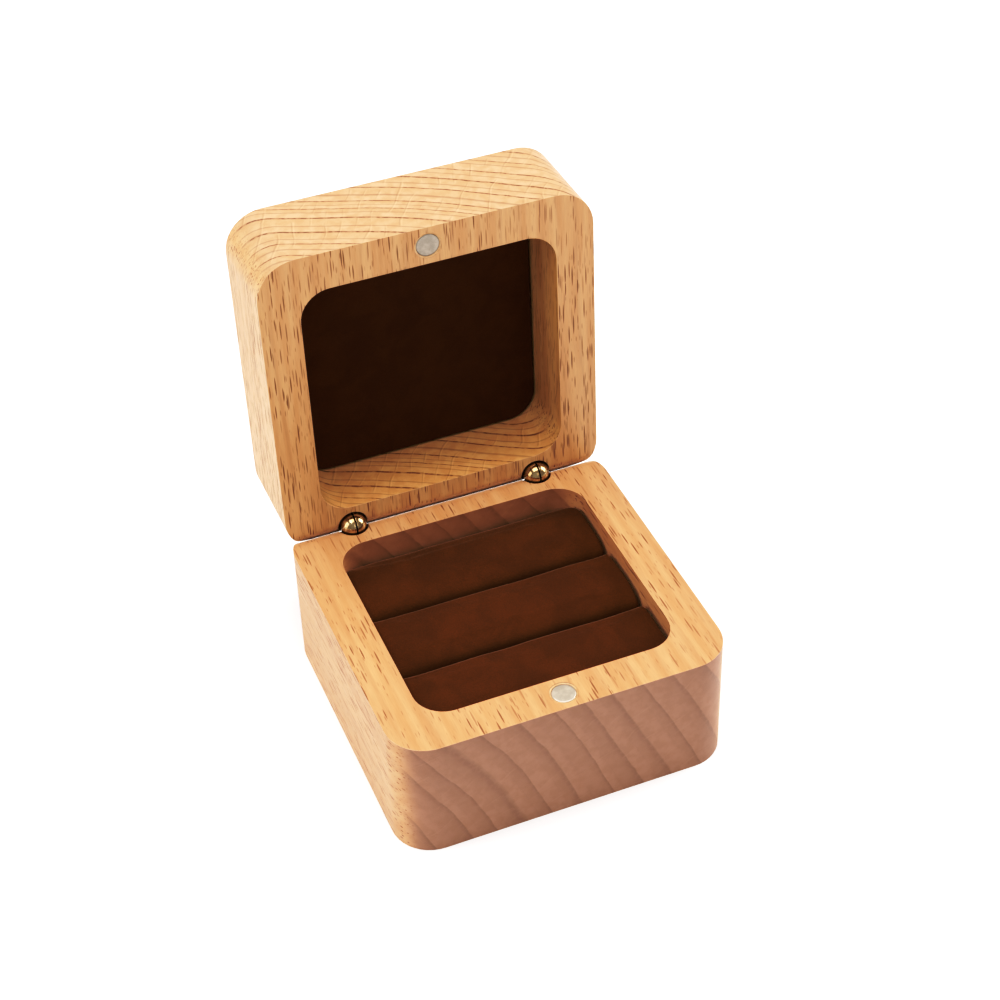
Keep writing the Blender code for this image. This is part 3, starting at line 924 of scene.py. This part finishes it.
def inflated_cloth(piece, glued):
    """The cloth modifier, with air inside and some of the piece's points held still."""
    cloth = piece.modifiers.new("cloth", "CLOTH")
    settings = cloth.settings
    settings.quality = 6
    settings.mass = 0.3
    settings.tension_stiffness = 18
    settings.compression_stiffness = 18
    settings.shear_stiffness = 8
    settings.bending_stiffness = 0.8
    settings.use_pressure = True
    settings.uniform_pressure_force = SIM_PRESSURE
    settings.effector_weights.gravity = 0
    settings.vertex_group_mass = glued.name
    cloth.collision_settings.use_collision = False
    cloth.point_cache.frame_start = 1
    cloth.point_cache.frame_end = SIM_FRAMES
    return cloth


def swell(piece, floor_z):
    """Inflates a closed cloth whose underside is glued down, and keeps each point near where it started."""
    rest = [v.co.copy() for v in piece.data.vertices]
    middle = sum(rest, Vector()) / len(rest)
    for v, at in zip(piece.data.vertices, rest):
        v.co = (at - middle) * SIM_SCALE
    glued = piece.vertex_groups.new(name="glued")
    glued.add([i for i, at in enumerate(rest) if at.z < floor_z + GLUED_HEIGHT], 1.0, "REPLACE")
    cloth = inflated_cloth(piece, glued)
    scene = bpy.context.scene
    for step in range(1, SIM_FRAMES + 1):
        scene.frame_set(step)
    evaluated = piece.evaluated_get(bpy.context.evaluated_depsgraph_get())
    moved = [v.co / SIM_SCALE + middle for v in evaluated.data.vertices]
    piece.modifiers.remove(cloth)
    scene.frame_set(1)
    for v, start, end in zip(piece.data.vertices, rest, moved):
        step = end - start
        if step.length > SWELL:
            step = step * (SWELL / step.length)
        v.co = start + step


def eased(room):
    """Distance kept from a side of the box: never below nothing, and with no kink where it starts to act."""
    return room if room > SOFT_STOP else SOFT_STOP * math.exp(room / SOFT_STOP - 1)


def within(low, value, high):
    """The value, slowed down near either side of its box so that it stays inside."""
    return high - eased(high - (low + eased(value - low)))


def lump(piece, lumps, seed, low, high, plan_inset):
    """Soft unevenness of a hand-stuffed piece, kept inside its box and inside the cavity's round corners."""
    amount, wavelength = lumps
    plan_low, plan_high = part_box("insert_board")
    radius = CAVITY_CORNER - plan_inset
    centre_low = [plan_low[i] + plan_inset + radius for i in range(2)]
    centre_high = [plan_high[i] - plan_inset - radius for i in range(2)]
    normals = [v.normal.copy() for v in piece.data.vertices]
    for v, normal in zip(piece.data.vertices, normals):
        at = v.co / wavelength + Vector((seed, seed, seed))
        v.co += normal * amount * noise.noise(at)
        v.co = Vector(within(a, c, b) for a, b, c in zip(low, high, v.co))
        nearest = Vector(max(a, min(b, c)) for a, b, c in zip(centre_low, centre_high, v.co))
        out = Vector((v.co.x, v.co.y)) - nearest
        if out.length > radius and out.x and out.y:
            v.co.x, v.co.y = nearest + out * (radius / out.length)


def finish_soft(piece, look, levels):
    piece.data.materials.append(look)
    piece.data.shade_smooth()
    if levels:
        fine = piece.modifiers.new("fine", "SUBSURF")
        fine.levels = levels
        fine.render_levels = levels


def cushion_cover(side, seed):
    """The velvet: a closed roll that is swollen by simulation."""
    node = f"{side}_cushion_cover"
    low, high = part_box(node)
    cover = rolled_cushion(f"{side}_cushion_velvet", low, high, START_INSET, EDGES[side])
    swell(cover, low[2])
    lump(cover, COVER_LUMPS, seed, low, high, 0.0)
    finish_soft(cover, CUSHION_VELVET, 1)
    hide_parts(node)
    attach(cover, BASE)


def cushion_core(side, seed):
    """The foam inside a cover: the same roll, drawn in."""
    node = f"{side}_cushion_core"
    low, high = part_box(node)
    core = rolled_cushion(f"{side}_cushion_foam", low, high, CORE_INSET, EDGES[side])
    lump(core, CORE_LUMPS, seed, low, high, COVER_ROOM + CORE_INSET)
    finish_soft(core, FOAM, 0)
    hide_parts(node)
    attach(core, BASE)


# ---- lid liner ----

# Distances in from the cloth's edge at which it has a line of points: close together where it turns
LINER_RINGS_MM = (0.0, 0.04, 0.1, 0.18, 0.28, 0.4, 0.6, 1.0, 1.7, 2.7, 4.0, 5.5, 7.5, 10.0, 13.0, 16.5, 20.0)
LINER_CORNER = 5.2 * MM
LINER_CORNER_STEPS = 10
LINER_STEP = 1.5 * MM
DENT_DEPTH = 0.05 * MM
DENT_WAVELENGTH = 7 * MM
DENT_SEED = 0.3
DENT_START = 2 * MM  # from the edge to where a dent may have its full depth


def rounded_square(half_x, half_y, radius):
    """Points round a rectangle with rounded corners, anticlockwise."""
    corners = (
        (half_x - radius, half_y - radius, 0),
        (radius - half_x, half_y - radius, 90),
        (radius - half_x, radius - half_y, 180),
        (half_x - radius, radius - half_y, 270),
    )
    points = []
    for x, y, start in corners:
        for i in range(LINER_CORNER_STEPS + 1):
            angle = math.radians(start + 90 * i / LINER_CORNER_STEPS)
            points.append(Vector((x + radius * math.cos(angle), y + radius * math.sin(angle))))
    return points


def filled_out(points, step):
    """The same outline with points added along its long straight sides."""
    filled = []
    for a, b in zip(points, points[1:] + points[:1]):
        count = max(1, round((b - a).length / step))
        filled.extend(a.lerp(b, i / count) for i in range(count))
    return filled


def liner_ring(bm, outline, inset, middle, half, low_z, thick):
    """One line of the liner's points, drawn in by inset, on the face that turns back at its edge."""
    share_x, share_y = (half.x - inset) / half.x, (half.y - inset) / half.y
    edge = max(0.0, 1.0 - inset / (0.5 * thick))
    drop = thick * 0.5 * (1.0 - math.sqrt(max(0.0, 1.0 - edge * edge)))
    ring = []
    for point in outline:
        x, y = middle.x + point.x * share_x, middle.y + point.y * share_y
        dent = DENT_DEPTH * noise.noise(Vector((x, y, DENT_SEED)) / DENT_WAVELENGTH)
        dent *= min(1.0, inset / DENT_START)
        ring.append(bm.verts.new((x, y, low_z + drop + max(0.0, dent))))
    return ring


def lid_liner():
    """The lid's velvet: a thin cloth stretched over its card and tucked in round the edge."""
    node = "lid_liner_velvet"
    corners = [TO_CLOSED @ v.co for v in frame["nodes"][node].data.vertices]
    low = Vector(min(c[i] for c in corners) for i in range(3))
    high = Vector(max(c[i] for c in corners) for i in range(3))
    middle = (low + high) / 2
    half = (high - low) / 2
    thick = high.z - low.z
    outline = filled_out(rounded_square(half.x, half.y, LINER_CORNER), LINER_STEP)
    bm = bmesh.new()
    face = [liner_ring(bm, outline, inset * MM, middle, half, low.z, thick) for inset in LINER_RINGS_MM]
    back = [bm.verts.new((v.co.x, v.co.y, high.z)) for v in face[0]]
    rings = [back] + face
    for first, second in zip(rings, rings[1:]):
        bridge(bm, first, second)
    for end in (rings[0], rings[-1]):
        cap(bm, end)
    bmesh.ops.transform(bm, matrix=TO_OPEN, verts=bm.verts[:])
    bmesh.ops.recalc_face_normals(bm, faces=bm.faces[:])
    liner = linked("lid_liner_cloth", bm)
    finish_soft(liner, LINER_VELVET_SHADED, 0)
    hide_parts(node)
    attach(liner, LID)


# ---- camera, floor and light ----

CAMERA_TARGET = Vector((0, 0, 25 * MM))
CAMERA_AZIMUTH = math.radians(-20.981)
CAMERA_ELEVATION = math.radians(40.254)
CAMERA_ROLL = math.radians(-1.924)
CAMERA_DISTANCE = 373.154 * MM
CAMERA_SLIDE = (-0.358 * MM, 15.055 * MM)  # across and up, in the camera's own directions
CAMERA_LENS = 78.19
CAMERA_NEAR = 10 * MM
CAMERA_FAR = 20

FLOOR_SIZE = 12
FLOOR_TONE = (0.93, 0.95)
WORLD_LIGHT = 0.375
LAMP_TARGET = Vector((0, 0, 30 * MM))
# Name, place, width and height in metres, and power in watts
LAMPS = (
    ("top", (-0.10, 0.0, 0.9), (0.8, 0.8), 6.6),
    ("back", (-0.25, 0.55, 0.7), (0.6, 0.6), 0.8),
    ("left", (-0.85, 0.0, 0.35), (0.6, 0.6), 2.9),
    ("front", (0.15, -0.8, 0.55), (0.6, 0.4), 0.5),
    ("right", (0.85, 0.0, 0.45), (0.6, 0.6), 5.6),
)

# Print-like tones: deep shadows, clear middle tones and a clean white floor
TONE_CURVE = (
    (0.0, 0.0),
    (0.03, 0.017),
    (0.07, 0.041),
    (0.15, 0.132),
    (0.3, 0.367),
    (0.5, 0.681),
    (0.7, 0.884),
    (0.85, 1.0),
)
COMBINED_CURVE = 3  # the curve that acts on all three colours together


def look_at_box():
    """The camera, from its direction, roll, distance and slide."""
    sin_a, cos_a = math.sin(CAMERA_AZIMUTH), math.cos(CAMERA_AZIMUTH)
    sin_e, cos_e = math.sin(CAMERA_ELEVATION), math.cos(CAMERA_ELEVATION)
    back = Vector((sin_a * cos_e, -cos_a * cos_e, sin_e))
    level = Vector((cos_a, sin_a, 0))
    upright = Vector((-sin_a * sin_e, cos_a * sin_e, cos_e))
    right = level * math.cos(CAMERA_ROLL) + upright * math.sin(CAMERA_ROLL)
    up = upright * math.cos(CAMERA_ROLL) - level * math.sin(CAMERA_ROLL)
    slide = right * CAMERA_SLIDE[0] + up * CAMERA_SLIDE[1]
    place = CAMERA_TARGET + back * CAMERA_DISTANCE + slide
    data = bpy.data.cameras.new("camera")
    data.lens = CAMERA_LENS
    data.clip_start = CAMERA_NEAR
    data.clip_end = CAMERA_FAR
    camera = bpy.data.objects.new("camera", data)
    bpy.context.scene.collection.objects.link(camera)
    camera.matrix_world = Matrix.Translation(place) @ Matrix((right, up, back)).transposed().to_4x4()
    bpy.context.scene.camera = camera


def softbox(name, place, size, watts):
    data = bpy.data.lights.new(name, "AREA")
    data.shape = "RECTANGLE"
    data.size, data.size_y = size
    data.energy = watts
    lamp = bpy.data.objects.new(name, data)
    lamp.location = place
    lamp.rotation_euler = (Vector(place) - LAMP_TARGET).to_track_quat("Z", "Y").to_euler()
    bpy.context.scene.collection.objects.link(lamp)


def lay_floor():
    """A plain pale floor, very slightly clouded."""
    bpy.ops.mesh.primitive_plane_add(size=FLOOR_SIZE)
    floor = bpy.context.object
    floor.name = "floor"
    shader = Shader("floor")
    cloud = shader.noise(shader.place_mm(), scale=0.02)
    tone = shader.spread(cloud, *WIDE, *FLOOR_TONE, "LINEAR")
    shader.set(Base_Color=shader.join(tone, tone, tone), Roughness=0.9, Specular_IOR_Level=0.1)
    floor.data.materials.append(shader.material)


def light():
    world = bpy.data.worlds.new("studio")
    world.use_nodes = True
    background = world.node_tree.nodes["Background"]
    background.inputs["Color"].default_value = (1, 1, 1, 1)
    background.inputs["Strength"].default_value = WORLD_LIGHT
    bpy.context.scene.world = world
    for lamp in LAMPS:
        softbox(*lamp)


def develop():
    """Gives the picture its tone curve."""
    settings = bpy.context.scene.view_settings
    settings.view_transform = "Standard"
    settings.use_curve_mapping = True
    curve = settings.curve_mapping.curves[COMBINED_CURVE]
    curve.points[0].location = TONE_CURVE[0]
    curve.points[1].location = TONE_CURVE[-1]
    for point in TONE_CURVE[1:-1]:
        curve.points.new(*point)
    settings.curve_mapping.update()


dress("base_shell", BASE_BEECH)
dress("lid_shell", LID_BEECH)
hinges()
dress("base_magnet", BASE_NICKEL)
dress("lid_magnet", LID_NICKEL_SHADED)
magnet_glue(BASE, -1)
magnet_glue(LID, 1)
dress("insert_board", CARD)
dress("lid_liner_board", CARD)
for number, cushion_side in enumerate(CUSHIONS):
    cushion_seed = FIRST_SEED + SEED_STEP * number
    cushion_cover(cushion_side, cushion_seed)
    cushion_core(cushion_side, cushion_seed + CORE_SEED_SHIFT)
lid_liner()
look_at_box()
lay_floor()
light()
develop()
